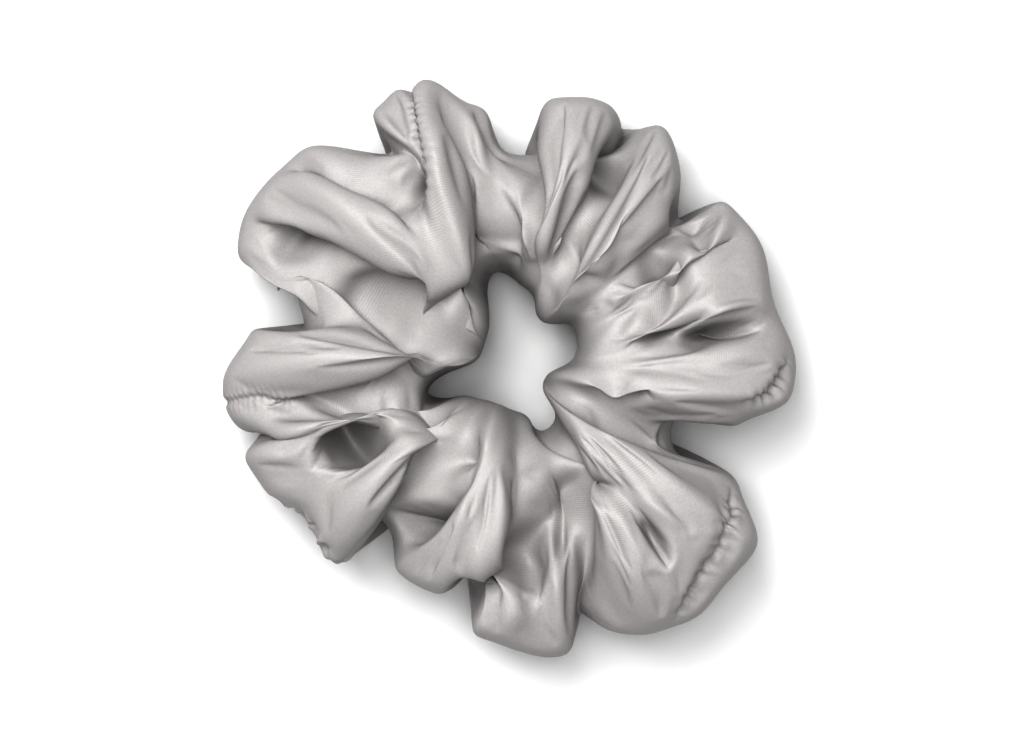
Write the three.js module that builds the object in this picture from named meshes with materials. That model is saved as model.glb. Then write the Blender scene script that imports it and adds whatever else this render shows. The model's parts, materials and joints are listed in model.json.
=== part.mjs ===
// Large satin scrunchie: a gathered fabric tube closed into a ring over a stretched-in elastic band.
// Millimetres, +Z up. The ring lies flat on z = 0 with the origin under the middle of its outline.
// The cover, the elastic and the long seam run all the way round. Each is divided at the creases
// between the puffs, so that the ring can widen: one arc of each rides on each body of the chain.
import * as THREE from 'three';

// Driving dimensions
const WALL = 1.2;                 // bunched satin, thicker than one layer
const GAP = 0.4;                  // clear space between neighbouring solids
const CREASE_OUTER = 0.9;         // outer radius at a crease, as a share of the puff's own
const CREASE_HEIGHT = 0.84;       // height at a crease, as a share of the puff's own
const CREASE_PINCH = 1.5;         // how far the hole side draws outward at a crease
const SECTION_POINTS = 16;        // corners of the tube's cross-section
const SQUARENESS = 0.85;          // 1 is an ellipse, less is boxier
const PUFF_STEPS = 4;             // stretches along one puff

const ELASTIC_RADIUS = 27;        // middle of the band, relaxed
const ELASTIC_WIDTH = 8;          // height of the band, standing on edge inside the tube
const ELASTIC_THICKNESS = 1.2;
const ELASTIC_BASE = 14;          // height of the band's lower edge
const ELASTIC_OVERLAP = 16;       // degrees by which the band's ends overlap where they are sewn

const THREAD_RADIUS = 0.3;
const THREAD_SIDES = 6;
const LONG_SEAM_SIDE = 40;        // where the long seam runs round the section: 0 is the outer side, 90 the top
const LONG_SEAM_DEPTH = 4;        // from the outside of the cover to the long seam's thread
const CLOSING_SEAM = 187.5;       // degrees, where the tube's two ends are sewn together
const CLOSING_PROUD = 0.5;        // how far the closing thread stands off the cover, so that it clears its corners
const CLOSING_PITCH = 1.3;        // how far each closing stitch reaches to either side of the seam
const CLOSING_STITCHES = 14;
const JOIN_ZIGZAGS = 5;           // stitches across the elastic's overlap

// The puffs, counter-clockwise from the closing seam. Angles in degrees from +X, the rest in mm.
const PUFFS = [
  { end: 209.0, inner: 11.5, outer: 58.6, height: 38 },
  { end: 235.0, inner: 9.5, outer: 54.5, height: 39 },
  { end: 261.0, inner: 7.8, outer: 52.0, height: 40 },
  { end: 290.0, inner: 8.7, outer: 60.0, height: 37 },
  { end: 313.0, inner: 11.0, outer: 63.0, height: 40 },
  { end: 335.0, inner: 8.0, outer: 62.5, height: 40 },
  { end: 365.0, inner: 7.4, outer: 58.6, height: 39 },
  { end: 397.5, inner: 13.2, outer: 57.5, height: 38 },
  { end: 422.5, inner: 10.6, outer: 57.5, height: 40 },
  { end: 446.0, inner: 13.0, outer: 57.0, height: 38 },
  { end: 459.0, inner: 15.8, outer: 50.0, height: 34 },
  { end: 483.0, inner: 9.0, outer: 63.0, height: 41 },
  { end: 507.0, inner: 6.6, outer: 61.5, height: 42 },
  { end: 523.0, inner: 6.2, outer: 60.5, height: 34 },
  { end: 547.5, inner: 6.4, outer: 58.3, height: 38 },
];

// Materials
const satin = new THREE.MeshStandardMaterial({ color: 0xb4b2b0, roughness: 0.42, metalness: 0 });
const elastic = new THREE.MeshStandardMaterial({ color: 0xe6e4df, roughness: 0.85, metalness: 0 });
const thread = new THREE.MeshStandardMaterial({ color: 0xa3a19f, roughness: 0.6, metalness: 0 });

const radians = THREE.MathUtils.degToRad;

// A point at an angle round the ring, a distance from its centre and a height.
function ringPoint(angle, radius, height) {
  return new THREE.Vector3(
    radius * Math.cos(radians(angle)),
    radius * Math.sin(radians(angle)),
    height,
  );
}

// The tube's size at a share of the way through a puff: full in the middle and drawn in at both creases.
function fullness(puff, share) {
  const swell = Math.sin(Math.PI * share) ** 0.6;
  return {
    inner: puff.inner + CREASE_PINCH * (1 - swell),
    outer: puff.outer * (CREASE_OUTER + (1 - CREASE_OUTER) * swell),
    height: puff.height * (CREASE_HEIGHT + (1 - CREASE_HEIGHT) * swell),
  };
}

const signedPower = (value, power) => Math.sign(value) * Math.abs(value) ** power;

// A point on the tube's section, "side" degrees round it from the outer side over the top, moved inward
// by inset. The lowest two corners of an even section share one height, which makes the flat that it rests on.
function tubePoint(puff, share, side, inset = 0) {
  const { inner, outer, height } = fullness(puff, share);
  const lowest = Math.cos(Math.PI / SECTION_POINTS) ** SQUARENESS;
  const across = (outer - inner) / 2 - inset;
  const up = (height / 2 - inset) / lowest;
  const radius = (outer + inner) / 2 + across * signedPower(Math.cos(radians(side)), SQUARENESS);
  const trim = THREE.MathUtils.radToDeg(GAP / 2 / radius);
  const angle = THREE.MathUtils.lerp(puff.start + trim, puff.end - trim, share);
  return ringPoint(angle, radius, height / 2 + up * signedPower(Math.sin(radians(side)), SQUARENESS));
}

// A closed surface through a row of rings of points. The last ring joins the first one.
function closedLoft(rings) {
  const sides = rings[0].length;
  const geometry = new THREE.BufferGeometry().setFromPoints(rings.flat());
  const index = [];
  for (let ring = 0; ring < rings.length; ring++) {
    const next = (ring + 1) % rings.length;
    for (let side = 0; side < sides; side++) {
      const a = ring * sides + side;
      const b = ring * sides + (side + 1) % sides;
      const c = next * sides + (side + 1) % sides;
      const d = next * sides + side;
      index.push(a, c, b, a, d, c);
    }
  }
  geometry.setIndex(index);
  geometry.computeVertexNormals();
  return geometry;
}

// One puff of the cover: a short open-ended tube with a wall, out along its outside and back inside.
function coverPuff(puff) {
  const rings = [];
  for (const inset of [0, WALL]) {
    const row = [];
    for (let step = 0; step <= PUFF_STEPS; step++) {
      const ring = [];
      for (let corner = 0; corner < SECTION_POINTS; corner++) {
        ring.push(tubePoint(puff, step / PUFF_STEPS, (corner + 0.5) * 360 / SECTION_POINTS, inset));
      }
      row.push(ring);
    }
    rings.push(...(inset ? row.reverse() : row));
  }
  return closedLoft(rings);
}

// A flat band standing on edge, bent round the ring between two angles.
function bandArc(start, end, radius, base, width) {
  const half = ELASTIC_THICKNESS / 2;
  const outline = new THREE.Shape();
  outline.absarc(0, 0, radius + half, radians(start), radians(end), false);
  outline.absarc(0, 0, radius - half, radians(end), radians(start), true);
  outline.closePath();
  const geometry = new THREE.ExtrudeGeometry(outline, { depth: width, bevelEnabled: false, curveSegments: 3 });
  return geometry.translate(0, 0, base);
}

function elasticArc(puff) {
  const trim = THREE.MathUtils.radToDeg(GAP / 2 / ELASTIC_RADIUS);
  return bandArc(puff.start + trim, puff.end - trim, ELASTIC_RADIUS, ELASTIC_BASE, ELASTIC_WIDTH);
}

// A thread along a row of points.
function threadAlong(points, steps) {
  const section = new THREE.Shape();
  for (let side = 0; side < THREAD_SIDES; side++) {
    const turn = side * 2 * Math.PI / THREAD_SIDES;
    const corner = [THREAD_RADIUS * Math.cos(turn), THREAD_RADIUS * Math.sin(turn)];
    if (side === 0) section.moveTo(...corner);
    else section.lineTo(...corner);
  }
  section.closePath();
  const path = new THREE.CatmullRomCurve3(points);
  return new THREE.ExtrudeGeometry(section, { extrudePath: path, steps, bevelEnabled: false });
}

// The long seam's thread. It runs in the seam allowance, which hangs inside the tube.
function longSeamArc(puff) {
  const points = [];
  for (let step = 0; step <= PUFF_STEPS; step++) {
    points.push(tubePoint(puff, step / PUFF_STEPS, LONG_SEAM_SIDE, LONG_SEAM_DEPTH));
  }
  return threadAlong(points, PUFF_STEPS);
}

// The thread that closes the tube: a zigzag over the outside, from low on the outer side to past the top.
// It crosses the seam at every stitch.
function closingThread(first, last) {
  const proud = -(CLOSING_PROUD + THREAD_RADIUS);
  const points = [];
  for (let stitch = 0; stitch <= CLOSING_STITCHES; stitch++) {
    const side = THREE.MathUtils.lerp(-45, 110, stitch / CLOSING_STITCHES);
    const puff = stitch % 2 ? first : last;
    const reach = CLOSING_PITCH / (radians(puff.end - puff.start) * puff.outer);
    points.push(tubePoint(puff, stitch % 2 ? reach : 1 - reach, side, proud));
  }
  return threadAlong(points, CLOSING_STITCHES * 2);
}

// The free end of the elastic, laid over the outside of the other end.
const TAB_RADIUS = ELASTIC_RADIUS + ELASTIC_THICKNESS + GAP;
function elasticTab() {
  const start = CLOSING_SEAM - ELASTIC_OVERLAP / 2;
  return bandArc(start, start + ELASTIC_OVERLAP, TAB_RADIUS, ELASTIC_BASE, ELASTIC_WIDTH);
}

// The zigzag that sews the elastic's two ends to each other, on the outside of the overlap.
function elasticJoinThread() {
  const radius = TAB_RADIUS + ELASTIC_THICKNESS / 2 + GAP + THREAD_RADIUS;
  const points = [];
  for (let turn = 0; turn <= JOIN_ZIGZAGS; turn++) {
    const angle = CLOSING_SEAM + ELASTIC_OVERLAP * 0.8 * (turn / JOIN_ZIGZAGS - 0.5);
    points.push(ringPoint(angle, radius, ELASTIC_BASE + ELASTIC_WIDTH * (turn % 2 ? 0.85 : 0.15)));
  }
  return threadAlong(points, JOIN_ZIGZAGS * 3);
}

const scrunchie = new THREE.Group();

function add(name, geometry, material) {
  const mesh = new THREE.Mesh(geometry, material);
  mesh.name = name;
  scrunchie.add(mesh);
}

PUFFS.forEach((puff, place) => {
  puff.start = place ? PUFFS[place - 1].end : CLOSING_SEAM;
  const number = String(place + 1).padStart(2, '0');
  add(`cover_puff_${number}`, coverPuff(puff), satin);
  add(`elastic_band_${number}`, elasticArc(puff), elastic);
  add(`long_seam_thread_${number}`, longSeamArc(puff), thread);
});
add('closing_seam_thread', closingThread(PUFFS[0], PUFFS.at(-1)), thread);
add('elastic_overlap', elasticTab(), elastic);
add('elastic_join_thread', elasticJoinThread(), thread);

export default scrunchie;
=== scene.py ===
"""A large satin scrunchie, lying flat and seen from straight above.

The cover is one tube of satin, worked out as a grid of points round the ring and round the tube's
section, in millimetres. The folds are pressed into the grid along curves, cloth simulation settles
them, and the finished grid is cut into pieces, one for each joint of the frame.
"""
import json
import math

import bpy
import numpy as np
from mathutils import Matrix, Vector


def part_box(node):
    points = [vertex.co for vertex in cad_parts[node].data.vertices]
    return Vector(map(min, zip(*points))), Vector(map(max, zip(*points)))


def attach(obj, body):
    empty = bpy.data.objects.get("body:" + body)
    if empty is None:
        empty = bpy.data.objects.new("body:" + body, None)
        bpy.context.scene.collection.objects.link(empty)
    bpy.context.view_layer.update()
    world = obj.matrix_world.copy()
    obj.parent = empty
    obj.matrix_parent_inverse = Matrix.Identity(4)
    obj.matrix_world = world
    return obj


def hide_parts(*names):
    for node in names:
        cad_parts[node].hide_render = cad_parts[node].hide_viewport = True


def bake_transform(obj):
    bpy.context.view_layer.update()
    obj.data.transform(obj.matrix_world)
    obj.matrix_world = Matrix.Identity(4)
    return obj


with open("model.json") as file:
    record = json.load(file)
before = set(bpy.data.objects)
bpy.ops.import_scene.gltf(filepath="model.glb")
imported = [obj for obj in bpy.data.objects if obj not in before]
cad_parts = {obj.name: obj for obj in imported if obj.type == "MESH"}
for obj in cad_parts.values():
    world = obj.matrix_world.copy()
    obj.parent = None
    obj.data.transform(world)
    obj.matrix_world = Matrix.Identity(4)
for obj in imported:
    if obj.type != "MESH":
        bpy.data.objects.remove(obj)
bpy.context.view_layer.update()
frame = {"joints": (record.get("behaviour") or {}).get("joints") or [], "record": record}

MM = 0.001

# The strip of satin. CLOTH_LENGTH is an estimate of the real cut, and only spreads the weave. The sheets
# aren't declared with it. Their flat sizes are each piece's own area over COVER_TO_FLAT, an assumed share.
# So they aren't independent sizes, and the test of a sheet's area against them can't fail.
CLOTH_LENGTH = 0.42         # metres
CLOTH_WIDTH = 0.145         # metres round the tube
WEAVE_PERIOD = 0.00036      # metres from one rib of the weave to the next

# How the folds are pressed in, in mm unless said otherwise
ROUTE_POINTS = 120          # points along each fold's line
END_FADE = 2.5              # past a fold's end, over which it dies out
FOLD_GAIN = 1.45            # on every depth in FOLDS
ROLL_TURN = math.radians(150)
ROLL_SHARE = 1 - math.cos(ROLL_TURN)   # depth of a rolled edge, as a share of its radius
LIP = 0.35                  # how far the rolled edge hangs over, as a share of its radius
BEND_MOST = 3.0             # the widest bend of a rolled edge across its fold
OVER_REACH = 1.9            # width of the cloth that makes the roll, as a share of its radius
UNDER_CURVE = 1.6           # how hollow the slope under the roll is
SLIDE_SHARE = 0.8           # how much of the sideways move is kept
MAX_SHIFT = 21.0            # the furthest that all folds together move a point
CREASE_DEPTH = 6.0          # from this depth on, a crease is held fast in the simulation
SOFT_GAIN = 1.25            # on every height in SOFT
SOFT_END = 0.22             # share of a soft crease's length over which it fades in and out
SOFT_LEAST = 0.2            # what is left of its height at its ends
WIDE = 2.9                  # creases from this width on aren't made shallower near the hole
CROWDED_FROM = 7.0          # from the middle, where the folds have no room
CROWDED_OVER = 14.0         # further out than CROWDED_FROM, where they have all of it
LEAST_ROOM = 0.6            # share of its depth that a fold keeps at the hole
EASE_RADIUS = 25.0          # from the middle, inside which the grid is eased round the ring
EASE_OVER = 12.0
EASE_TIMES = 60
SPIKE = 0.22                # how far a point may stand out from the middle of its neighbours
SMOOTH_TIMES = 4

# The cloth simulation
SIM_SCALE = 10              # it works best at metre size, so the grid goes in ten times larger
SIM_FRAMES = 10
SIM_CAP = 2.0               # mm that it may move a point
HOLD_LEVELS = 20            # steps of the weight that holds the cloth in place
LOOSE_HOLD = 0.15           # on the free cloth
RIM_HOLD = 0.8              # at the outline
RIM_OVER = 5.0              # mm in from the outline over which that fades
HOLE_HOLD = 0.8             # at the hole
HOLE_FREE, HOLE_OVER = 24.0, 8.0    # mm from the middle where that has ended, and how wide it fades
FLOOR_OVER = 2.0            # mm above the floor over which the cloth is held

# Seams, elastic and thread, in mm and degrees
CLOSING_SEAM = 187.5
GROOVE_WIDTH = 0.7
PUCKER_WIDTH = 2.2
PUCKER_FADE = 1.5           # past a seam's end
SEAM_SIDE = 40              # degrees round the section at which the long seam runs
SEAM_DEPTH = 9.0            # from the plain tube to the long seam's thread, clear of the folds
SEAM_BELOW = 3.0            # least gap between that thread and the cover above it
SEAM_NEAR = 12              # rows and columns round the thread in which the cover above it is looked for
STITCH_LENGTH = 2.4
STITCH_RISE = 0.3
THREAD_RADIUS = 0.25
BAND_STEPS = 10             # columns of the elastic in each piece
BAND_RADIUS = 27.0          # from the middle
BAND_LOW, BAND_HIGH = 14.0, 22.0
BAND_HALF_THICKNESS = 0.6
BAND_RIB = 0.1              # height of the ribs along the elastic
BAND_CLEAR = 1.5            # the cover stays this far above the elastic
LAP_HALF = 8                # degrees to either side of the closing seam that the elastic's lap reaches
LAP_OUT = 1.6               # how far outside the elastic the lap lies
ZIGZAGS = 5                 # stitches across the lap
ZIGZAG_HALF = 3             # degrees to either side
ZIGZAG_BASE, ZIGZAG_RISE = 1.5, 5.0     # from the elastic's lower edge, and their height

# The camera, in metres
CAMERA_HEIGHT = 1.02
RING_LEVEL = 0.02           # the height at which VIEW_WIDTH is measured
VIEW_WIDTH = 0.2048         # what the picture's width spans there

# The grid of the cover
RING_STEPS = 480            # columns round the ring
SECTION_STEPS = 112         # rows round the tube's section
TOP_SQUARENESS = 0.9        # 1 is an ellipse, less is boxier
HOLE_SQUARENESS = 0.75      # the side at the hole stands steeper
BOTTOM_SQUARENESS = 0.62    # flatter, because the tube rests on it

# Seen from above: angles in degrees counter-clockwise from +X, distances from the middle in mm. OUTLINE and
# HOLE were listed from distances that a program measured on a picture of the ring. HEIGHT is a guess.
OUTLINE = [
    (0, 57.6), (14, 54.2), (26, 56.2), (36, 54.8), (45, 50.8), (59, 57.6), (72, 56.2), (81, 54.6),
    (89, 47.4), (98, 53), (109, 62.6), (117, 58.5), (125, 54), (134, 60.6), (150, 61.6), (160, 59.4),
    (165, 46.5), (172, 52.5), (184, 58), (195, 57.2), (207, 55.4), (216, 50.6), (227, 53.4),
    (236, 47), (248, 48), (256, 48.6), (263, 55), (280, 59.6), (289, 57.4), (299, 61.2), (307, 63),
    (315, 61.4), (324, 61.8), (332, 52.5), (339.5, 42), (346, 48), (353, 57),
]
HOLE = [
    (2, 12.5), (20, 14.2), (35, 15.2), (42, 11.6), (55, 10.4), (66, 11.5), (80, 15.1), (101, 17),
    (108, 12), (120, 7.8), (140, 6.3), (158, 5.9), (175, 6.7), (186, 10), (191, 15), (197, 14.8),
    (206, 11.5), (220, 9.4), (240, 7.9), (258, 7.8), (275, 8.8), (290, 9.9), (299, 14.8), (307, 11.5),
    (318, 8.3), (332, 7.1), (348, 7.4), (357, 9),
]
HEIGHT = [
    (0, 37), (14, 38), (25, 35), (31, 37), (38, 35), (51, 41), (63, 35), (75, 39), (87, 33), (93, 31),
    (99, 33), (111, 40), (123, 38), (136, 41), (147, 37), (155, 31), (163, 34), (177, 39), (190, 34),
    (199, 37), (208, 35), (221, 38), (235, 33), (252, 40), (268, 38), (277, 33), (290, 34), (301, 40),
    (313, 40), (325, 40), (335, 33), (350, 39),
]

# Deep folds: (points, which side lies over the other, depths in mm from first point to last, ends).
# A point is (angle, distance from the middle). Side +1 is the counter-clockwise side of a fold that runs
# towards the hole. An end that isn't None carries the fold on down the outer or the hole wall, to that
# many degrees round the section. The depths and widths were chosen one by one. The points in FOLDS and SOFT
# were picked on a picture of the ring, and another program turned them into angles and distances.
FOLDS = {
    "j_face_under_rim": ([(30.5, 52.5), (30.5, 47.5), (30, 43.5), (28.5, 40), (25, 36), (21, 31),
                          (18, 26.5), (12, 22), (3.5, 19)],
                         1, (2, 3, 4, 5, 5, 4, 3, 2, 1), 7, (None, None)),
    "k_over_pocket": ([(43.5, 48.5), (40, 45.5), (39, 41), (38.5, 36.5), (38, 32.5), (35, 29.5),
                       (30.5, 28), (25, 28.5)], 1, (4, 5, 7, 8, 7, 5, 3, 1), 5.5, (-40, None)),
    "l_over_k": ([(65.5, 55), (66, 49.5), (65.5, 44), (64, 39.5), (63, 36)],
                 1, (4, 7, 8, 7, 4), 8, (-20, None)),
    "k_over_l": ([(63, 36), (65, 32), (64.5, 27), (61, 23), (55.5, 19.5), (43.5, 16)],
                 -1, (2, 4, 4, 4, 3, 2), 3.5, (None, None)),
    "l_over_m": ([(87, 46.5), (86.5, 41), (83, 33.5), (78, 25.5), (71, 19), (61, 15)],
                 -1, (5, 6, 7, 7, 5, 3), 7, (-40, None)),
    "a_over_m": ([(104, 55.5), (103.5, 49.5), (102, 45), (100, 40), (99, 35), (98.5, 30.5),
                  (98.5, 25.5), (100, 21.5), (104, 18)], 1, (2, 3, 3, 4, 5, 6, 6, 5, 3), 8, (None, 200)),
    "a_over_seam": ([(109.5, 60.5), (110.5, 57), (111, 55), (112, 51), (112.5, 48), (112.5, 45),
                     (114, 42.5), (116.5, 40), (120.5, 37.5)],
                    -1, (4, 5, 5, 5, 6, 6, 6, 5, 3), 4, (-20, None)),
    "roll_over_a": ([(123, 53), (121, 50.5), (118, 48.5), (117, 45.5), (119, 42.5), (120.5, 39.5),
                     (121.5, 37)], 1, (5, 6, 6, 6, 6, 5, 3), 5, (-40, None)),
    "b_over_roll": ([(138, 60), (136, 57), (133.5, 53.5), (131, 49), (128.5, 45), (126.5, 41),
                     (125.5, 37.5), (126, 35.5)], 1, (2, 4, 5, 6, 6, 6, 5, 3), 6, (None, None)),
    "b_over_strip": ([(151, 58), (151, 54.5), (149, 50.5), (147.5, 47), (147, 41.5), (147, 35.5),
                      (147.5, 31), (147.5, 25.5)], -1, (3, 7, 10, 10, 8, 6, 5, 3), 8, (None, None)),
    "ab_over_c": ([(163.5, 52), (162.5, 46), (159, 38.5), (154, 32.5), (150, 27.5), (147, 24),
                   (141.5, 20.5), (129, 17.5), (114, 16), (103, 17.5)],
                  -1, (4, 5, 6, 6, 7, 7, 7, 7, 6, 3), 7, (-40, None)),
    "d_over_c": ([(163, 46.5), (163, 44), (163, 37.5), (162, 30.5), (161.5, 24), (162, 19),
                  (164.5, 13.5)], 1, (4, 6, 6, 5, 5, 4, 2), 6, (-40, None)),
    "d_over_e": ([(189, 48.5), (188.5, 44.5), (189.5, 39.5), (191.5, 33.5), (194, 28), (198, 22),
                  (200, 18), (197, 15.5)], -1, (3, 5, 6, 6, 6, 6, 6, 4), 6, (None, 200)),
    "e_over_e": ([(195, 56.5), (195, 53), (197.5, 49), (199, 45.5), (199, 42.5)],
                 -1, (4, 5, 5, 4, 2), 4, (-30, None)),
    "e_over_f": ([(234.5, 47), (234, 42.5), (233.5, 38), (233, 32.5), (232.5, 28), (228.5, 23.5),
                  (218.5, 19), (206, 17), (199, 16.5)], -1, (6, 7, 7, 6, 6, 6, 6, 6, 4), 5, (-40, 200)),
    "f_over_g": ([(256.5, 46.5), (262, 48), (266, 45), (270, 41.5), (274, 38), (277.5, 33.5),
                  (282.5, 29.5), (288, 26), (293.5, 24), (296, 22.5), (297, 19.5), (296, 15), (294, 10)],
                 -1, (4, 6, 7, 8, 8, 8, 8, 8, 8, 7, 6, 5, 3), 7, (-30, 200)),
    "h_over_g": ([(287.5, 55.5), (289, 48.5), (290, 43), (291, 37.5), (293.5, 31.5), (297, 27),
                  (297.5, 24)], 1, (3, 5, 6, 7, 7, 7, 6), 6, (-40, None)),
    "roll_over_h": ([(322, 36), (318, 34), (313, 31), (307, 27.5), (301, 24)],
                    1, (1, 3, 5, 7, 7), 6, (None, None)),
    "i_over_h": ([(339.5, 41), (338, 36.5), (335, 32.5), (334, 28), (333.5, 23.5), (334, 19.5),
                  (338, 15.5), (343, 12)], 1, (6, 7, 7, 7, 6, 5, 4, 2), 6, (-50, None)),
}

# Softer creases, dents and ridges: (points, heights in mm from first point to last, width in mm).
SOFT = {
    "j_valley": ([(15.5, 44.5), (14.5, 38), (11.5, 31.5), (8.5, 26.5), (5, 22.5)],
                 (-2, -5, -8, -8, -5), 2.8),
    "j_ridge": ([(11.5, 53.5), (13, 48), (13, 43), (11.5, 39), (9, 35.5), (5.5, 31.5), (3, 27),
                 (3, 22.5)], (1, 2, 2.5, 3, 3, 3, 2.5, 1), 1.5),
    "j_slit": ([(9.5, 52), (9, 45.5), (8, 41.5), (6, 37.5), (3.5, 33)], (-4, -11, -13, -12, -4), 2),
    "j_lobe": ([(40.5, 52), (38, 48.5), (35, 46), (33, 43.5)], (-3, -8, -8, -4), 1.7),
    "j_lobe_edge": ([(30.5, 53), (30.5, 49), (30.5, 44.5)], (-4, -5, -3), 1.6),
    "rim_band": ([(41, 49.5), (37.5, 46), (34, 40.5), (30.5, 35.5), (26.5, 31.5), (24, 27.5)],
                 (1, 2, 2, 2, 2, 1), 1.6),
    "k_hollow": ([(51.5, 35.5), (48.5, 31.5), (44.5, 27.5)], (-1, -2, -1), 4),
    "l_groove": ([(64.5, 51), (64, 45), (63, 40.5), (62.5, 37)], (-5, -11, -11, -3), 2.2),
    "k_pocket": ([(35.5, 39), (34.5, 33.5), (31.5, 30)], (-6, -13, -9), 2.3),
    "l_tip_slit": ([(69.5, 19), (61.5, 16), (54, 14)], (-2, -4, -3), 1.2),
    "m_hole": ([(97, 52), (93.5, 47), (91, 44.5)], (-2, -5, -8), 1.8),
    "m_crease": ([(93.5, 32), (87, 28), (82.5, 23)], (-1, -2, -2), 3),
    "a_rim": ([(108, 53.5), (108, 48.5), (109, 43.5), (112.5, 39), (117, 36), (124, 35), (128, 35.5),
               (129, 39), (130, 43)], (1, 1, 1.5, 2, 2, 2, 2, 1.5, 0.5), 2),
    "a_notch": ([(117, 43.5), (120, 40), (122.5, 37)], (-6, -11, -8), 2),
    "seam_strip": ([(114, 60.5), (114.5, 54), (115, 49.5)], (-1, -2, -2), 2.4),
    "b_pocket": ([(152, 57), (152, 52.5), (150, 48), (148, 43)], (-10, -16, -16, -7), 2.8),
    "c_low": ([(156, 29.5), (152, 24), (142, 17.5), (130, 12.5), (123.5, 9)], (-4, -8, -10, -9, -8), 3),
    "c_crease": ([(119, 14.5), (137, 16), (150.5, 18)], (-6, -9, -5), 1.8),
    "e_pocket": ([(204, 42.5), (206.5, 39), (207.5, 34.5), (207, 29.5), (206, 25)],
               (-7, -16, -15, -7, -2), 3),
    "e_ridge": ([(209.5, 41.5), (212, 34), (210.5, 28), (206, 21), (203, 18)], (1, 1.5, 1.5, 1.5, 1), 1.8),
    "e_strip_low": ([(196, 40), (198, 33.5), (201, 28), (202, 21.5)], (-2, -2.5, -2.5, -2), 2),
    "f_wedge": ([(235.5, 44), (238, 39.5), (240.5, 35.5), (243, 32), (245.5, 28.5), (249.5, 26.5)],
               (-5, -10, -13, -13, -8, -2), 2),
    "f_hollow": ([(248, 16.5), (248.5, 21.5), (246.5, 26.5)], (-1, -3, -2.5), 4),
    "f_band": ([(227, 17.5), (231, 22.5), (235, 28), (236.5, 33.5), (236, 38)], (0.5, 1, 1.5, 2, 1.5), 1.6),
    "f_slit": ([(285, 11), (287, 15.5), (288, 21), (288, 24)], (-1, -3, -4, -2), 1.3),
    "g_groove": ([(276, 48), (277, 42), (277, 36.5), (280.5, 31.5)], (-5, -10, -10, -8), 1.7),
    "g_groove_right": ([(283.5, 42), (284.5, 36.5), (287.5, 32), (292.5, 27)], (-4, -10, -11, -10), 1.6),
    "g_deep": ([(296.5, 24.5), (300.5, 24.5), (303.5, 25.5)], (-8, -10, -6), 1.6),
    "h_dimple": ([(311, 38.5), (310.5, 43.5), (309.5, 47.5), (307.5, 51)], (-2, -6, -6, -2), 2.2),
    "h_ridge": ([(305, 27), (310, 32.5), (313, 38), (316.5, 44), (318.5, 49.5)],
                (0.5, 1, 1.2, 1.2, 0.5), 1.3),
    "h_fan": ([(302.5, 30.5), (300.5, 38), (299, 45.5)], (-1, -1.5, -0.5), 2.6),
    "h_seam": ([(332.5, 51), (328.5, 53.5), (324.5, 55), (319.5, 56.5), (315.5, 57), (311.5, 58.5),
                (308.5, 59.5), (305.5, 60), (302.5, 61)], (-2, -4, -4, -4, -4, -4, -4, -4, -2), 1.1),
    "h_top_shade": ([(331, 17), (331, 22.5), (330.5, 27.5)], (-2, -4, -2), 2.4),
    "i_hollow": ([(356.5, 19), (347.5, 20.5), (344.5, 24.5), (345, 29)], (-6, -7, -6, -3), 2.6),
    "i_curl": ([(335.5, 8), (353, 11.5), (349, 16.5), (339.5, 20.5), (336.5, 26), (337.5, 31.5)],
               (0.5, 1, 1.5, 1.5, 1.5, 1), 2),
    "i_seam": ([(2, 56), (-2, 55), (-6, 53.5), (-9, 50.5), (-10.5, 47)], (-1, -3, -3, -3, -2), 1.1),
}


def eased(share):
    return share * share * (3 - 2 * share)


def around(points, angles):
    """The value at each angle of a closed curve through (angle, value) points, eased between them."""
    knots, values = np.array(points, float).T
    knots = np.concatenate([knots[-1:] - 360, knots, knots[:1] + 360])
    values = np.concatenate([values[-1:], values, values[:1]])
    angles = np.mod(angles, 360)
    place = np.clip(np.searchsorted(knots, angles, side="right") - 1, 0, len(knots) - 2)
    share = (angles - knots[place]) / (knots[place + 1] - knots[place])
    return values[place] + (values[place + 1] - values[place]) * eased(share)


def signed_power(value, power):
    return np.sign(value) * np.abs(value) ** power


def tube(angle, side):
    """Points on the plain tube at angles round the ring and round its section (0 outermost, 90 on top)."""
    outer, inner, top = around(OUTLINE, angle), around(HOLE, angle), around(HEIGHT, angle)
    turn = np.radians(side)
    reach = signed_power(np.cos(turn), np.where(np.cos(turn) > 0, TOP_SQUARENESS, HOLE_SQUARENESS))
    radius = (outer + inner) / 2 + (outer - inner) / 2 * reach
    squareness = np.where(np.sin(turn) > 0, TOP_SQUARENESS, BOTTOM_SQUARENESS)
    height = top / 2 * (1 + signed_power(np.sin(turn), squareness))
    around_ring = np.radians(angle)
    return np.stack([radius * np.cos(around_ring), radius * np.sin(around_ring), height], -1)


def side_at(angle, radius):
    """How far round the section the top of the tube is at a distance from the middle."""
    outer, inner = around(OUTLINE, angle), around(HOLE, angle)
    across = np.clip((2 * radius - outer - inner) / (outer - inner), -1, 1)
    power = 1 / np.where(across > 0, TOP_SQUARENESS, HOLE_SQUARENESS)
    return np.degrees(np.arccos(signed_power(across, power)))


def normals_of(grid):
    """Outward normals of a grid that closes on itself both ways."""
    ahead = np.roll(grid, -1, 0) - np.roll(grid, 1, 0)
    up = np.roll(grid, -1, 1) - np.roll(grid, 1, 1)
    normal = np.cross(ahead, up)
    return normal / np.maximum(np.linalg.norm(normal, axis=-1, keepdims=True), 1e-9)


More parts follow.
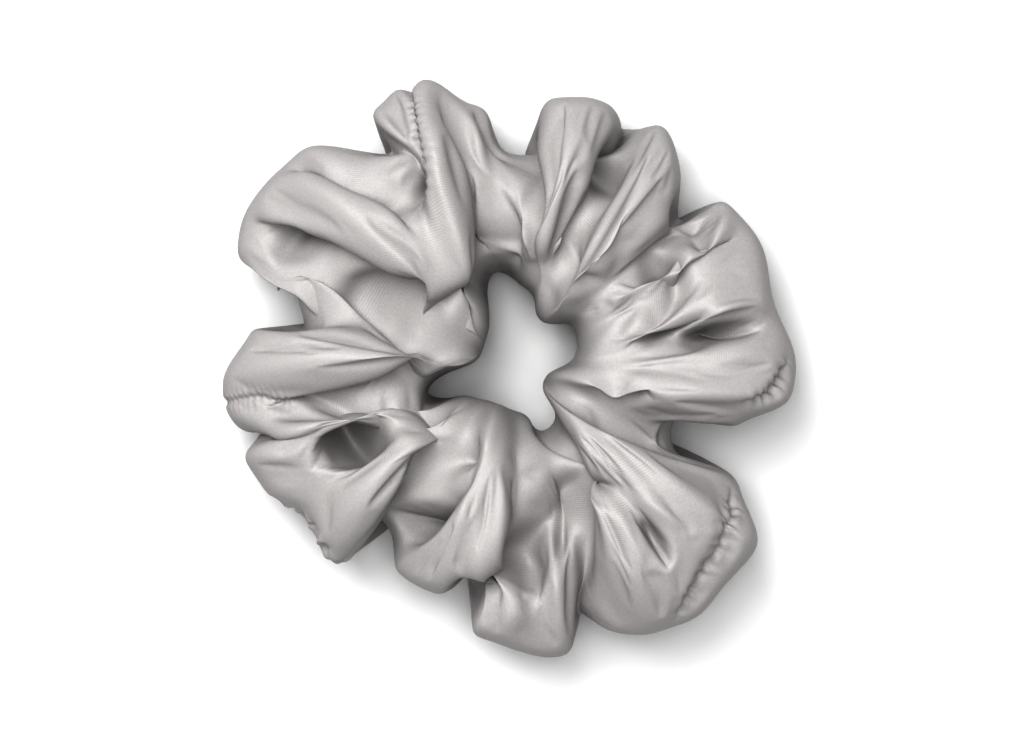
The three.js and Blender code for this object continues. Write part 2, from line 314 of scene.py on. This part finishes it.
def spline(points, count):
    """Evenly shared points on a Catmull-Rom curve through the given ones."""
    points = np.array(points, float)
    padded = np.concatenate([2 * points[:1] - points[1:2], points, 2 * points[-1:] - points[-2:-1]])
    place = np.linspace(0, len(points) - 1, count)
    first = np.minimum(place.astype(int), len(points) - 2)
    t = (place - first)[:, None]
    a, b, c, d = (padded[first + k] for k in range(4))
    square = (2 * a - 5 * b + 4 * c - d) * t ** 2
    cube = (3 * b - a - 3 * c + d) * t ** 3
    return 0.5 * (2 * b + (c - a) * t + square + cube)


def route(points, ends=(None, None)):
    """A curve on the tube through (angle, radius) points: its places, directions and shares of the way."""
    angle, radius = np.array(points, float).T
    corners = list(zip(angle, side_at(angle, radius)))
    if ends[0] is not None:
        corners.insert(0, (angle[0], ends[0]))
    if ends[1] is not None:
        corners.append((angle[-1], ends[1]))
    line = spline(corners, ROUTE_POINTS)
    place = tube(line[:, 0], line[:, 1])
    step = np.gradient(place, axis=0)
    direction = step / np.linalg.norm(step, axis=-1, keepdims=True)
    length = np.concatenate([[0], np.cumsum(np.linalg.norm(np.diff(place, axis=0), axis=-1))])
    return place, direction, length / length[-1]


def near(points, normals, line, reach):
    """For the points within reach of a route: which they are, how far to the counter-clockwise or outer
    side of it they lie, the way across it, how far past its ends, and their share of the way along it."""
    place, direction, share = line
    flat = points.reshape(-1, 3)
    low, high = place.min(0) - reach, place.max(0) + reach
    which = np.nonzero(np.all((flat > low) & (flat < high), axis=-1))[0]
    gap = flat[which, None, :] - place[None, :, :]
    best = np.argmin((gap ** 2).sum(-1), axis=1)
    gap = gap[np.arange(len(which)), best]
    ahead = direction[best]
    across = np.cross(normals.reshape(-1, 3)[which], ahead)
    across /= np.maximum(np.linalg.norm(across, axis=-1, keepdims=True), 1e-9)
    offset = (gap * across).sum(-1)
    past = np.abs((gap * ahead).sum(-1)) * ((best == 0) | (best == len(place) - 1))
    away = np.sqrt(np.maximum((gap ** 2).sum(-1) - offset ** 2 - past ** 2, 0))
    close = (np.abs(offset) < reach) & (away < reach)
    return which[close], offset[close], across[close], past[close], share[best[close]]


def depth_along(depths, share, past):
    knots = np.linspace(0, 1, len(depths))
    return np.interp(share, knots, depths) * np.exp(-(past / END_FADE) ** 2)


def room(points, which):
    """Less depth where the folds crowd together at the hole."""
    radius = np.linalg.norm(points.reshape(-1, 3)[which, :2], axis=-1)
    return np.clip((radius - CROWDED_FROM) / CROWDED_OVER, LEAST_ROOM, 1)


def press_fold(grid, slide, sink, normals, points, over, depths, under, ends):
    """One side rolls over the fold's line and hangs above the other, which slopes down under it."""
    reach = max(1.5 * max(depths), under)
    which, offset, across, past, share = near(grid, normals, route(points, ends), reach)
    depth = np.maximum(FOLD_GAIN * depth_along(depths, share, past) * room(grid, which), 1e-3)
    q = offset * over
    across = across * over
    roll = depth / ROLL_SHARE
    bend = np.minimum(roll, BEND_MOST)
    lip, width = LIP * bend, OVER_REACH * bend
    straight = width - (bend - lip)
    travel = (q + width) / width * (straight + ROLL_TURN * bend)
    turned = np.clip((travel - straight) / bend, 0, ROLL_TURN)
    x_over = np.where(travel < straight, travel - width, lip - bend + bend * np.sin(turned))
    y_over = -roll * (1 - np.cos(turned))
    bottom = lip - bend * (1 - math.sin(ROLL_TURN))
    rise = np.clip(q / under, 0, 1)
    x_under = bottom + (under - bottom) * rise
    y_under = -depth * (1 - rise) ** UNDER_CURVE
    move_x = np.where(q < 0, x_over, x_under) - q
    move_y = np.where(q < 0, y_over, y_under)
    inside = (q > -width) & (q < under)
    closeness = np.exp(-np.abs(q) / 2) * (1 - np.abs(q) / np.where(q < 0, width, under)) ** 2 + 1e-6
    move = np.concatenate([across * move_x[:, None], np.ones((len(q), 1))], -1) * closeness[:, None]
    np.add.at(slide.reshape(-1, 4), which[inside], move[inside])
    np.minimum.at(sink.reshape(-1), which[inside], move_y[inside])


def press_soft(grid, rise, sink, normals, points, heights, width):
    """A soft valley (negative heights) or ridge along a line."""
    which, offset, _, past, share = near(grid, normals, route(points), 3 * width)
    ends = np.clip(np.minimum(share, 1 - share) / SOFT_END, 0, 1)
    strength = SOFT_LEAST + (1 - SOFT_LEAST) * eased(ends)
    height = SOFT_GAIN * depth_along(heights, share, past) * strength
    height *= np.exp(-(offset / width) ** 2)
    if width < WIDE:
        height *= room(grid, which)
    np.add.at(rise.reshape(-1), which, np.maximum(height, 0))
    np.minimum.at(sink.reshape(-1), which, np.minimum(height, 0))


def smoothed(grid, times, strength=0.5):
    for _ in range(times):
        mean = (np.roll(grid, 1, 0) + np.roll(grid, -1, 0) + np.roll(grid, 1, 1) + np.roll(grid, -1, 1)) / 4
        grid = grid + (mean - grid) * strength
    return grid


def without_spikes(grid, outward, times=25):
    """Relaxes only the points that stand far out from their neighbours, and leaves the pockets alone."""
    for _ in range(times):
        mean = (np.roll(grid, 1, 0) + np.roll(grid, -1, 0) + np.roll(grid, 1, 1) + np.roll(grid, -1, 1)) / 4
        proud = ((grid - mean) * outward).sum(-1, keepdims=True) > 0
        stand = np.linalg.norm(mean - grid, axis=-1, keepdims=True) * proud
        wide = np.maximum(stand, np.maximum(np.roll(stand, 1, 0), np.roll(stand, -1, 0)))
        wide = np.maximum(wide, np.maximum(np.roll(wide, 1, 1), np.roll(wide, -1, 1)))
        grid = grid + (mean - grid) * np.clip((wide - SPIKE) / SPIKE, 0, 0.8)
    return grid


def eased_at_hole(grid, times):
    """Smooths round the ring only, near the hole, where the columns lie close together."""
    radius = np.linalg.norm(grid[..., :2], axis=-1, keepdims=True)
    strength = np.clip((EASE_RADIUS - radius) / EASE_OVER, 0, 1) * 0.5
    for _ in range(times):
        grid = grid + ((np.roll(grid, 1, 0) + np.roll(grid, -1, 0)) / 2 - grid) * strength
    return grid


def designed_cover():
    """The cover with every fold pressed in, and how deep each point lies in a crease, from 0 to 1."""
    angle = np.arange(RING_STEPS)[:, None] * 360 / RING_STEPS + np.zeros((1, SECTION_STEPS))
    side = np.arange(SECTION_STEPS)[None, :] * 360 / SECTION_STEPS + np.zeros((RING_STEPS, 1))
    grid = tube(angle, side)
    normals = normals_of(grid)
    slide = np.zeros(grid.shape[:2] + (4,))
    rise, sink = np.zeros(grid.shape[:2]), np.zeros(grid.shape[:2])
    for points, over, depths, under, ends in FOLDS.values():
        press_fold(grid, slide, sink, normals, points, over, depths, under, ends)
    for points, heights, width in SOFT.values():
        press_soft(grid, rise, sink, normals, points, heights, width)
    sideways = SLIDE_SHARE * slide[..., :3] / np.maximum(slide[..., 3:], 1e-9)
    shift = sideways + normals * (rise + sink)[..., None]
    far = np.linalg.norm(shift, axis=-1, keepdims=True)
    shift *= np.minimum(1, MAX_SHIFT / np.maximum(far, 1e-9))
    pressed = np.clip(-sink / CREASE_DEPTH, 0, 1)
    grid = smoothed(without_spikes(eased_at_hole(grid + shift, EASE_TIMES), normals), SMOOTH_TIMES)
    return clear_of_elastic(grid), pressed


def clear_of_elastic(grid):
    """The top of the cover stays above the elastic inside it."""
    radius = np.linalg.norm(grid[..., :2], axis=-1)
    top = np.arange(SECTION_STEPS)[None, :] < SECTION_STEPS / 2
    lowest = (BAND_HIGH + BAND_CLEAR) * np.exp(-(np.maximum(np.abs(radius - BAND_RADIUS) - 2, 0) / 3) ** 2)
    grid[..., 2] = np.where(top & (grid[..., 2] < lowest), lowest, grid[..., 2])
    return grid


def settled(grid, pressed):
    """Cloth simulation: the cover shrinks a little and air presses it out, while its creases, underside,
    hole and outline are held. The cloth doesn't collide with itself."""
    mesh = bpy.data.meshes.new("settling")
    index = np.arange(grid.shape[0] * grid.shape[1]).reshape(grid.shape[:2])
    ahead = np.roll(index, -1, 0)
    faces = np.stack([index, ahead, np.roll(ahead, -1, 1), np.roll(index, -1, 1)], -1).reshape(-1, 4)
    mesh.from_pydata((grid.reshape(-1, 3) * MM * SIM_SCALE).tolist(), [], faces.tolist())
    obj = bpy.data.objects.new("settling", mesh)
    bpy.context.scene.collection.objects.link(obj)
    group = obj.vertex_groups.new(name="held")
    low = np.clip(1 - grid[..., 2] / FLOOR_OVER, 0, 1)
    radius = np.linalg.norm(grid[..., :2], axis=-1)
    at_hole = HOLE_HOLD * np.clip((HOLE_FREE - radius) / HOLE_OVER, 0, 1)
    outer = around(OUTLINE, np.arange(len(grid)) * 360 / len(grid))[:, None]
    at_rim = RIM_HOLD * np.clip((radius - outer + RIM_OVER) / RIM_OVER, 0, 1)
    hold = np.clip(np.max([pressed ** 2, low, at_hole, at_rim], axis=0), LOOSE_HOLD, 1).ravel()
    for level in range(1, HOLD_LEVELS + 1):
        held = np.nonzero(np.ceil(hold * HOLD_LEVELS) == level)[0]
        group.add(held.tolist(), level / HOLD_LEVELS, "REPLACE")
    cloth = obj.modifiers.new("cloth", "CLOTH")
    fabric, touch = cloth.settings, cloth.collision_settings
    fabric.quality = 5
    fabric.mass = 0.15
    fabric.tension_stiffness = 30
    fabric.compression_stiffness = 30
    fabric.shear_stiffness = 5
    fabric.bending_stiffness = 2
    fabric.air_damping = 5
    fabric.vertex_group_mass = "held"
    fabric.pin_stiffness = 0.3
    fabric.shrink_min = 0.035
    fabric.use_pressure = True
    fabric.uniform_pressure_force = 4
    fabric.effector_weights.gravity = 0
    touch.use_collision = False
    touch.use_self_collision = False
    scene = bpy.context.scene
    scene.frame_start, scene.frame_end = 1, SIM_FRAMES
    cloth.point_cache.frame_start, cloth.point_cache.frame_end = 1, SIM_FRAMES
    for step in range(1, SIM_FRAMES + 1):
        scene.frame_set(step)
    settled_mesh = obj.evaluated_get(bpy.context.evaluated_depsgraph_get()).data
    out = np.empty(len(settled_mesh.vertices) * 3, np.float32)
    settled_mesh.vertices.foreach_get("co", out)
    scene.frame_set(1)
    bpy.data.objects.remove(obj)
    moved = out.reshape(grid.shape).astype(float) / MM / SIM_SCALE - grid
    far = np.linalg.norm(moved, axis=-1, keepdims=True)
    return grid + moved * np.minimum(1, SIM_CAP / np.maximum(far, 1e-9))


def refined(grid):
    """The grid with twice the rows and columns, on a cubic spline surface through it."""
    for axis in (0, 1):
        before, after = np.roll(grid, 1, axis), np.roll(grid, -1, axis)
        even, odd = (before + 6 * grid + after) / 8, (grid + after) / 2
        grid = np.stack([even, odd], axis + 1).reshape(
            grid.shape[0] * (2 if axis == 0 else 1), grid.shape[1] * (2 if axis == 1 else 1), 3)
    return grid


# Sewn lines: (points, depth of the groove in mm, height of its puckers, mm from one to the next, ends).
SEAMS = {
    "upper_left": (FOLDS["a_over_seam"][0], 0.6, 0.55, 2.4, (None, None)),
    "lower_right": (SOFT["h_seam"][0], 0.8, 0.3, 3.1, (None, None)),
    "right": (SOFT["i_seam"][0], 0.4, 0.4, 2.6, (None, None)),
    "closing": ([(CLOSING_SEAM, 57.5), (CLOSING_SEAM, 53), (CLOSING_SEAM, 47), (CLOSING_SEAM, 41)],
                0.7, 0.2, 1.5, (-40, None)),
    "lower_left": ([(208, 55), (214, 51.5), (220, 51), (226, 52.5), (232, 50)],
                   0.5, 0.9, 4.5, (None, None)),
}


def puckered(grid):
    """Draws the cover in along its sewn lines, with small puckers across them."""
    columns, rows = grid.shape[:2]
    plain = tube(np.arange(columns)[:, None] * 360 / columns, np.arange(rows)[None, :] * 360 / rows)
    plain_normals, normals = normals_of(plain), normals_of(grid)
    move = np.zeros(columns * rows)
    for points, depth, height, pitch, ends in SEAMS.values():
        line = route(points, ends)
        length = np.linalg.norm(np.diff(line[0], axis=0), axis=-1).sum()
        which, offset, _, past, share = near(plain, plain_normals, line, 3 * PUCKER_WIDTH)
        fade = np.exp(-(past / PUCKER_FADE) ** 2) * np.clip(np.minimum(share, 1 - share) * 8, 0, 1)
        ripple = np.cos(2 * math.pi * share * length / pitch + 0.8 * np.sin(share * length))
        groove = -depth * np.exp(-(offset / GROOVE_WIDTH) ** 2)
        move[which] += fade * (groove + height * ripple * np.exp(-(offset / PUCKER_WIDTH) ** 2))
    return grid + normals * move.reshape(columns, rows)[..., None]


def grid_mesh(name, rows, normals, angles):
    """A mesh from columns of points that close round the section, with smooth normals and UVs in metres."""
    columns, sides = rows.shape[:2]
    mesh = bpy.data.meshes.new(name)
    index = np.arange(columns * sides).reshape(columns, sides)
    a, b = index[:-1], index[1:]
    faces = np.stack([a, b, np.roll(b, -1, 1), np.roll(a, -1, 1)], -1).reshape(-1, 4)
    mesh.from_pydata((rows.reshape(-1, 3) * MM).tolist(), [], faces.tolist())
    mesh.polygons.foreach_set("use_smooth", np.ones(len(faces), bool))
    uv = mesh.uv_layers.new(name="cloth")
    column, side = np.divmod(np.arange(len(faces)), sides)
    corner_column = np.stack([column, column + 1, column + 1, column], -1)
    corner_side = np.stack([side, side, side + 1, side + 1], -1)
    u = np.asarray(angles)[corner_column] / 360 * CLOTH_LENGTH
    v = corner_side / sides * CLOTH_WIDTH
    uv.data.foreach_set("uv", np.stack([u, v], -1).ravel())
    mesh.normals_split_custom_set_from_vertices(normals.reshape(-1, 3).tolist())
    return mesh


def joint_angles():
    """The angle of the middle of each joint's child arc, from its cover solid."""
    angles = []
    for joint in frame["joints"]:
        low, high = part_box(frame["record"]["behaviour"]["bodies"][joint["child"]][0])
        angles.append(math.degrees(math.atan2(low[1] + high[1], low[0] + high[0])) % 360)
    return angles


def arc_middles():
    """Where the pieces meet: the arcs' middles, but the closing seam for the first and the last arc."""
    middles = [CLOSING_SEAM]
    for angle in joint_angles()[:-1]:
        middles.append(angle + (360 if angle < middles[-1] % 360 - 1e-6 or middles[-1] > 360 else 0))
    middles.append(CLOSING_SEAM + 360)
    return middles


def make_object(name, mesh, material):
    obj = bpy.data.objects.new(name, mesh)
    bpy.context.scene.collection.objects.link(obj)
    mesh.materials.append(material)
    return obj


def share_out(piece):
    """Bakes the piece's placement into its mesh."""
    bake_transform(piece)


def build_cover(grid, material):
    """The satin cover, cut into pieces at the middles of the arcs."""
    normals = normals_of(grid)
    columns = len(grid)
    middles = arc_middles()
    places = [round(m * columns / 360) for m in middles]
    for number, joint in enumerate(frame["joints"], 1):
        span = np.arange(places[number - 1], places[number] + 1)
        name = f"cover_{number:02d}"
        mesh = grid_mesh(name, grid[span % columns], normals[span % columns], span * 360 / columns)
        piece = make_object(name, mesh, material)
        share_out(piece)
        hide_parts(f"cover_puff_{number:02d}")
    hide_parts("cover_puff_15", "closing_seam_thread")


def band_section(radius, ribs=4):
    """The elastic's section, lowest point first: a flat strip whose faces have shallow ribs."""
    heights = np.linspace(BAND_LOW, BAND_HIGH, 6 * ribs + 1)
    wave = BAND_RIB * np.cos(np.linspace(0, 2 * math.pi * ribs, len(heights)))
    outer = np.stack([radius + BAND_HALF_THICKNESS - BAND_RIB + wave, heights], -1)
    inner = np.stack([radius - BAND_HALF_THICKNESS + BAND_RIB - wave, heights], -1)[::-1]
    return np.concatenate([outer, inner])


def band_columns(angles, radius):
    section = band_section(radius)
    turn = np.radians(angles)[:, None]
    across, up = section[:, 0][None, :], section[:, 1][None, :] + np.zeros((len(angles), 1))
    return np.stack([across * np.cos(turn), across * np.sin(turn), up], -1)


def open_normals(columns):
    """Outward normals of columns that close round the section but not along it."""
    ahead = np.gradient(columns, axis=0)
    up = np.roll(columns, -1, 1) - np.roll(columns, 1, 1)
    normal = np.cross(ahead, up)
    return normal / np.maximum(np.linalg.norm(normal, axis=-1, keepdims=True), 1e-9)


def build_elastic(material):
    """The knitted elastic inside the cover, in pieces cut where the cover's are."""
    middles = arc_middles()
    for number, joint in enumerate(frame["joints"], 1):
        angles = np.linspace(middles[number - 1], middles[number], BAND_STEPS + 1)
        columns = band_columns(angles, BAND_RADIUS)
        mesh = grid_mesh(f"elastic_{number:02d}", columns, open_normals(columns), angles)
        piece = make_object(f"elastic_{number:02d}", mesh, material)
        share_out(piece)
        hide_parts(f"elastic_band_{number:02d}")
    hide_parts("elastic_band_15")


def thread_columns(places, radius, sides=8):
    """Columns of a round thread along a line of points."""
    step = np.gradient(places, axis=0)
    ahead = step / np.maximum(np.linalg.norm(step, axis=-1, keepdims=True), 1e-9)
    side = np.cross(ahead, (0, 0, 1.0))
    side /= np.maximum(np.linalg.norm(side, axis=-1, keepdims=True), 1e-9)
    up = np.cross(side, ahead)
    turn = np.arange(sides) * 2 * math.pi / sides
    return (places[:, None, :] + radius * (np.cos(turn)[None, :, None] * up[:, None, :]
                                           + np.sin(turn)[None, :, None] * side[:, None, :]))


def seam_line(grid):
    """The long seam's thread for each column, which follows its stitches and dips under the cover."""
    columns = len(grid)
    angle = np.arange(columns) * 360 / columns
    row = round(SEAM_SIDE / 360 * SECTION_STEPS)
    plain = tube(angle[:, None], np.arange(SECTION_STEPS)[None, :] * 360 / SECTION_STEPS)
    normal = normals_of(plain)[:, row]
    line = plain[:, row] - normal * SEAM_DEPTH
    length = np.concatenate([[0], np.cumsum(np.linalg.norm(np.diff(line, axis=0), axis=-1))])
    line -= normal * (STITCH_RISE * np.cos(2 * math.pi * length / STITCH_LENGTH))[:, None]
    near_row = round(SEAM_SIDE / 360 * grid.shape[1])
    above = grid[:, near_row - SEAM_NEAR:near_row + SEAM_NEAR + 1, 2].min(1)
    for _ in range(SEAM_NEAR):
        above = np.min([above, np.roll(above, 1), np.roll(above, -1)], axis=0)
    line[:, 2] = np.minimum(line[:, 2], np.maximum(above - SEAM_BELOW, SEAM_BELOW))
    return line


def build_long_seam(grid, material):
    """The thread of the seam that runs the whole way round inside the cover."""
    columns = len(grid)
    line = smooth_line(seam_line(grid))
    places = [round(m * columns / 360) for m in arc_middles()]
    for number, joint in enumerate(frame["joints"], 1):
        span = np.arange(places[number - 1], places[number] + 1)
        name = f"long_seam_{number:02d}"
        tube_columns = thread_columns(line[span % columns], THREAD_RADIUS)
        mesh = grid_mesh(name, tube_columns, open_normals(tube_columns), span * 360 / columns)
        piece = make_object(name, mesh, material)
        share_out(piece)
        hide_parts(f"long_seam_thread_{number:02d}")
    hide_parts("long_seam_thread_15")


def smooth_line(line, times=6):
    for _ in range(times):
        line = line + ((np.roll(line, 1, 0) + np.roll(line, -1, 0)) / 2 - line) * 0.5
    return line


def closed_ends(columns):
    """The columns with both ends drawn in to their middles, so that the mesh is closed."""
    first = columns[:1].mean(1, keepdims=True) + 0 * columns[:1]
    last = columns[-1:].mean(1, keepdims=True) + 0 * columns[-1:]
    tight = 0.02
    return np.concatenate([first + (columns[:1] - first) * tight, columns,
                           last + (columns[-1:] - last) * tight])


def root_piece(name, columns, material, replaced):
    """A piece that rides on the first arc, made from columns of points."""
    columns = closed_ends(columns)
    angles = np.linspace(0, 10, len(columns))
    mesh = grid_mesh(name, columns, open_normals(columns), angles)
    piece = make_object(name, mesh, material)
    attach(piece, "root")
    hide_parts(replaced)
    return piece


def build_elastic_join(elastic, thread):
    """The elastic's lapped end, and the zigzag that holds the lap."""
    angles = np.linspace(CLOSING_SEAM - LAP_HALF, CLOSING_SEAM + LAP_HALF, 13)
    lap = band_columns(angles, BAND_RADIUS + LAP_OUT)
    root_piece("elastic_lap", lap, elastic, "elastic_overlap")
    share = np.linspace(0, 1, 121)
    swing = np.abs((share * ZIGZAGS) % 1 - 0.5) * 2
    turn = np.radians(CLOSING_SEAM + ZIGZAG_HALF * (2 * share - 1))
    height = BAND_LOW + ZIGZAG_BASE + ZIGZAG_RISE * swing
    radius = BAND_RADIUS + LAP_OUT + BAND_HALF_THICKNESS + THREAD_RADIUS
    places = np.stack([radius * np.cos(turn), radius * np.sin(turn), height], -1)
    zigzag = thread_columns(places, THREAD_RADIUS)
    root_piece("elastic_stitches", zigzag, thread, "elastic_join_thread")


# Materials
def new_material(name):
    material = bpy.data.materials.new(name)
    material.use_nodes = True
    tree = material.node_tree
    shader = tree.nodes["Principled BSDF"]
    return material, tree, shader


def link(tree, source, output, target, name):
    tree.links.new(source.outputs[output], target.inputs[name])


def node(tree, kind, **settings):
    made = tree.nodes.new(kind)
    for name, value in settings.items():
        setattr(made, name, value)
    return made


def noise(tree, coordinates, output, scale, detail):
    made = node(tree, "ShaderNodeTexNoise")
    made.inputs["Scale"].default_value = scale
    made.inputs["Detail"].default_value = detail
    link(tree, coordinates, output, made, "Vector")
    return made


def ramp(tree, source, output, low, high):
    """Maps 0..1 to a range."""
    made = node(tree, "ShaderNodeMapRange")
    made.inputs["To Min"].default_value = low
    made.inputs["To Max"].default_value = high
    link(tree, source, output, made, "Value")
    return made


def weave_waves(tree, uv, period, tilt):
    """Fine ribs of the weave, a wave along the cloth's width that leans a little along its length."""
    turned = node(tree, "ShaderNodeMapping")
    turned.inputs["Rotation"].default_value = (0, 0, tilt)
    link(tree, uv, "UV", turned, "Vector")
    waves = node(tree, "ShaderNodeTexWave", wave_type="BANDS", bands_direction="Y")
    waves.inputs["Scale"].default_value = 2 * math.pi / 20 / period
    waves.inputs["Distortion"].default_value = 0.6
    waves.inputs["Detail"].default_value = 1
    link(tree, turned, "Vector", waves, "Vector")
    return waves


def satin():
    """Silver-grey satin: fine slanted ribs, a soft broad gloss, and an uneven colour and roughness."""
    material, tree, shader = new_material("satin")
    uv = node(tree, "ShaderNodeUVMap", uv_map="cloth")
    place = node(tree, "ShaderNodeTexCoord")
    ribs = weave_waves(tree, uv, WEAVE_PERIOD, math.radians(14))
    grain = noise(tree, place, "Object", 2200, 2)
    patches = noise(tree, place, "Object", 60, 3)
    together = node(tree, "ShaderNodeMix", data_type="FLOAT")
    together.inputs["Factor"].default_value = 0.65
    link(tree, ribs, "Fac", together, "A")
    tree.links.new(grain.outputs["Fac"], together.inputs["B"])
    colour = node(tree, "ShaderNodeValToRGB")
    colour.color_ramp.elements[0].color = (0.275, 0.267, 0.265, 1)
    colour.color_ramp.elements[1].color = (0.335, 0.326, 0.324, 1)
    colour.color_ramp.elements[0].position = 0.2
    colour.color_ramp.elements[1].position = 0.8
    link(tree, together, "Result", colour, "Fac")
    link(tree, colour, "Color", shader, "Base Color")
    rough = ramp(tree, patches, "Fac", 0.5, 0.6)
    link(tree, rough, "Result", shader, "Roughness")
    shader.inputs["Metallic"].default_value = 0.08
    shader.inputs["Specular IOR Level"].default_value = 0.22
    bump = node(tree, "ShaderNodeBump")
    bump.inputs["Strength"].default_value = 0.3
    bump.inputs["Distance"].default_value = 0.00006
    link(tree, together, "Result", bump, "Height")
    link(tree, bump, "Normal", shader, "Normal")
    return material


def thread_material():
    """Twisted polyester thread, a shade darker than the satin."""
    material, tree, shader = new_material("thread")
    uv = node(tree, "ShaderNodeUVMap", uv_map="cloth")
    twist = weave_waves(tree, uv, 0.0006, math.radians(35))
    colour = node(tree, "ShaderNodeValToRGB")
    colour.color_ramp.elements[0].color = (0.28, 0.27, 0.265, 1)
    colour.color_ramp.elements[1].color = (0.42, 0.41, 0.405, 1)
    link(tree, twist, "Fac", colour, "Fac")
    link(tree, colour, "Color", shader, "Base Color")
    shader.inputs["Roughness"].default_value = 0.6
    bump = node(tree, "ShaderNodeBump")
    bump.inputs["Strength"].default_value = 0.5
    bump.inputs["Distance"].default_value = 0.00008
    link(tree, twist, "Fac", bump, "Height")
    link(tree, bump, "Normal", shader, "Normal")
    return material


def elastic_material():
    """Knitted elastic: ribs along the band and a finer grain across it."""
    material, tree, shader = new_material("elastic")
    uv = node(tree, "ShaderNodeUVMap", uv_map="cloth")
    ribs = weave_waves(tree, uv, 0.0011, 0)
    stitches = weave_waves(tree, uv, 0.0008, math.radians(90))
    together = node(tree, "ShaderNodeMix", data_type="FLOAT")
    together.inputs["Factor"].default_value = 0.35
    link(tree, ribs, "Fac", together, "A")
    link(tree, stitches, "Fac", together, "B")
    colour = node(tree, "ShaderNodeValToRGB")
    colour.color_ramp.elements[0].color = (0.55, 0.54, 0.52, 1)
    colour.color_ramp.elements[1].color = (0.82, 0.81, 0.78, 1)
    link(tree, together, "Result", colour, "Fac")
    link(tree, colour, "Color", shader, "Base Color")
    shader.inputs["Roughness"].default_value = 0.85
    bump = node(tree, "ShaderNodeBump")
    bump.inputs["Strength"].default_value = 0.9
    bump.inputs["Distance"].default_value = 0.0002
    link(tree, together, "Result", bump, "Height")
    link(tree, bump, "Normal", shader, "Normal")
    return material


def paper_material():
    """Matt white studio board, very slightly uneven."""
    material, tree, shader = new_material("board")
    place = node(tree, "ShaderNodeTexCoord")
    unevenness = noise(tree, place, "Object", 9, 3)
    colour = node(tree, "ShaderNodeValToRGB")
    colour.color_ramp.elements[0].color = (0.54, 0.54, 0.54, 1)
    colour.color_ramp.elements[1].color = (0.56, 0.56, 0.56, 1)
    link(tree, unevenness, "Fac", colour, "Fac")
    link(tree, colour, "Color", shader, "Base Color")
    shader.inputs["Roughness"].default_value = 0.9
    return material


def build_stage():
    bpy.ops.mesh.primitive_plane_add(size=4)
    floor = bpy.context.object
    floor.name = "floor"
    floor.data.materials.append(paper_material())


def area_light(name, place, target, size, power):
    data = bpy.data.lights.new(name, "AREA")
    data.size = size
    data.energy = power
    lamp = bpy.data.objects.new(name, data)
    bpy.context.scene.collection.objects.link(lamp)
    lamp.location = place
    lamp.rotation_mode = "QUATERNION"
    lamp.rotation_quaternion = (Vector(target) - Vector(place)).to_track_quat("-Z", "Y")


def build_lights():
    world = bpy.data.worlds.new("studio")
    world.use_nodes = True
    world.node_tree.nodes["Background"].inputs["Color"].default_value = (1, 1, 1, 1)
    world.node_tree.nodes["Background"].inputs["Strength"].default_value = 0.9
    bpy.context.scene.world = world
    area_light("key", (-0.25, 0.35, 0.85), (0, 0, 0.02), 0.5, 10)
    area_light("top", (0, 0, 1.3), (0, 0, 0), 0.6, 13)
    bpy.context.scene.view_settings.view_transform = "Standard"
    bpy.context.scene.view_settings.gamma = 0.56


def build_camera():
    data = bpy.data.cameras.new("camera")
    data.sensor_width = 36
    data.lens = data.sensor_width * (CAMERA_HEIGHT - RING_LEVEL) / VIEW_WIDTH
    camera = bpy.data.objects.new("camera", data)
    bpy.context.scene.collection.objects.link(camera)
    camera.location = (0.0004, -0.0005, CAMERA_HEIGHT)
    bpy.context.scene.camera = camera


build_camera()
build_stage()
build_lights()
cover, pressed = designed_cover()
cover = settled(cover, pressed)
cover = puckered(refined(cover))
build_cover(cover, satin())
elastic, thread = elastic_material(), thread_material()
build_elastic(elastic)
build_long_seam(cover, thread)
build_elastic_join(elastic, thread)
